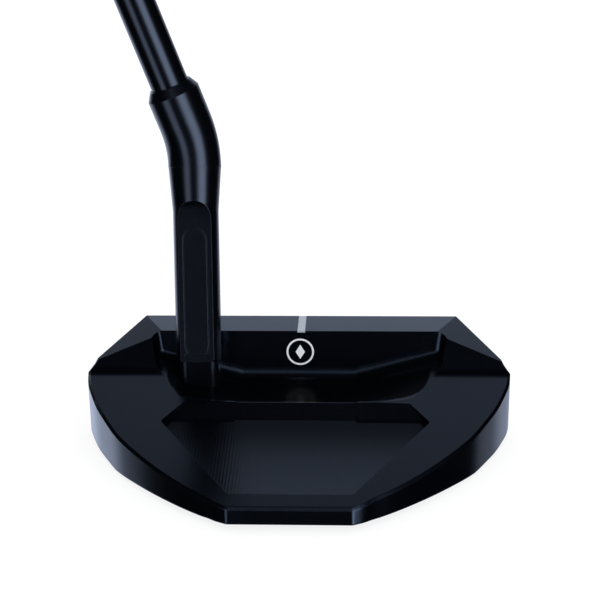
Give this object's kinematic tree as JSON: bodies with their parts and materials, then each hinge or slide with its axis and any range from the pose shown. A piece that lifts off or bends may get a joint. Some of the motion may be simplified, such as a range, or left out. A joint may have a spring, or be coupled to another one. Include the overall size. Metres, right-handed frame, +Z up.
{
  "type": "mallet putter",
  "caption": "Right-handed golf putter: milled mallet head with a rear cavity and pocket, leaning heel-side neck, straight steel shaft and moulded grip.",
  "frame": {"origin": "middle of the sole's flat, on the ground plane, with the putter at address", "axes": "+Y towards the target, the way the face looks; +X towards the toe; -X towards the heel and the golfer; +Z up"},
  "size_m": [0.3653, 0.083, 0.8147],
  "materials": {
    "black_anodised_head": "satin black anodise over fine milling",
    "black_neck": "satin black coating on steel",
    "black_shaft": "semi-gloss black coating on steel",
    "white_paint": "matt white paint fill",
    "screw_black": "black oxide steel",
    "weight_metal": "turned tungsten alloy, dark satin",
    "adhesive": "cured epoxy",
    "grip_rubber": "moulded rubber with fine texture",
    "tape_paper": "adhesive tape",
    "cap_plastic": "hard black cap"
  },
  "bodies": {
    "root": {"head_body": "black_anodised_head", "sight_line_fill": "white_paint", "back_mark_fill": "white_paint", "neck": "black_neck", "neck_screw": "screw_black", "heel_weight": "weight_metal", "toe_weight": "weight_metal", "weight_screws": "screw_black", "shaft": "black_shaft", "shaft_bond": "adhesive", "grip": "grip_rubber", "grip_tape": "tape_paper", "grip_end_cap": "cap_plastic"}
  },
  "joints": []
}
